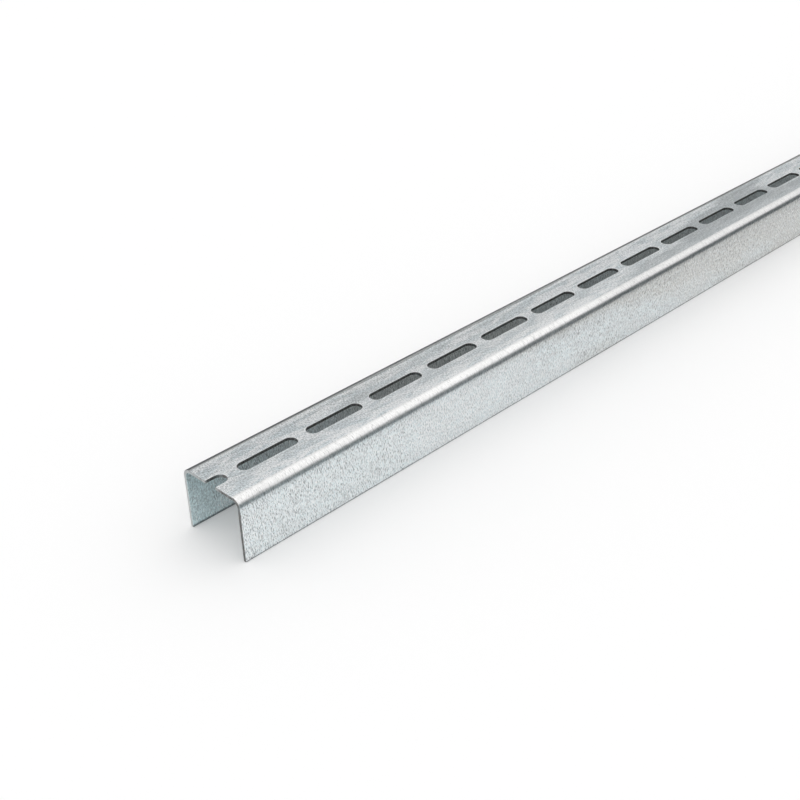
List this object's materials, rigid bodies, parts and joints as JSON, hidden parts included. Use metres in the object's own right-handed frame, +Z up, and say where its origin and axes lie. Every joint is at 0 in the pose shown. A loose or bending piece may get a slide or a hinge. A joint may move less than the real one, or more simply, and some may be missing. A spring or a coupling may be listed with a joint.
{
  "type": "slotted stud channel",
  "caption": "Straight U-shaped steel channel for stiffening drywall framing, with two plain flanges and a row of round-ended slots along its web.",
  "frame": {"origin": "on the floor, under the middle of the channel's length and the middle of its web", "axes": "+X along the channel, away from the end with the short half slot; +Y across the web to the back flange; +Z up, out of the web, which lies on top with both flanges down"},
  "size_m": [2.6, 0.0488, 0.04],
  "materials": {
    "zinc": "hot-dip galvanised, satin with a fine pitted grain"
  },
  "bodies": {
    "root": {"stud_channel": "zinc"}
  },
  "joints": []
}
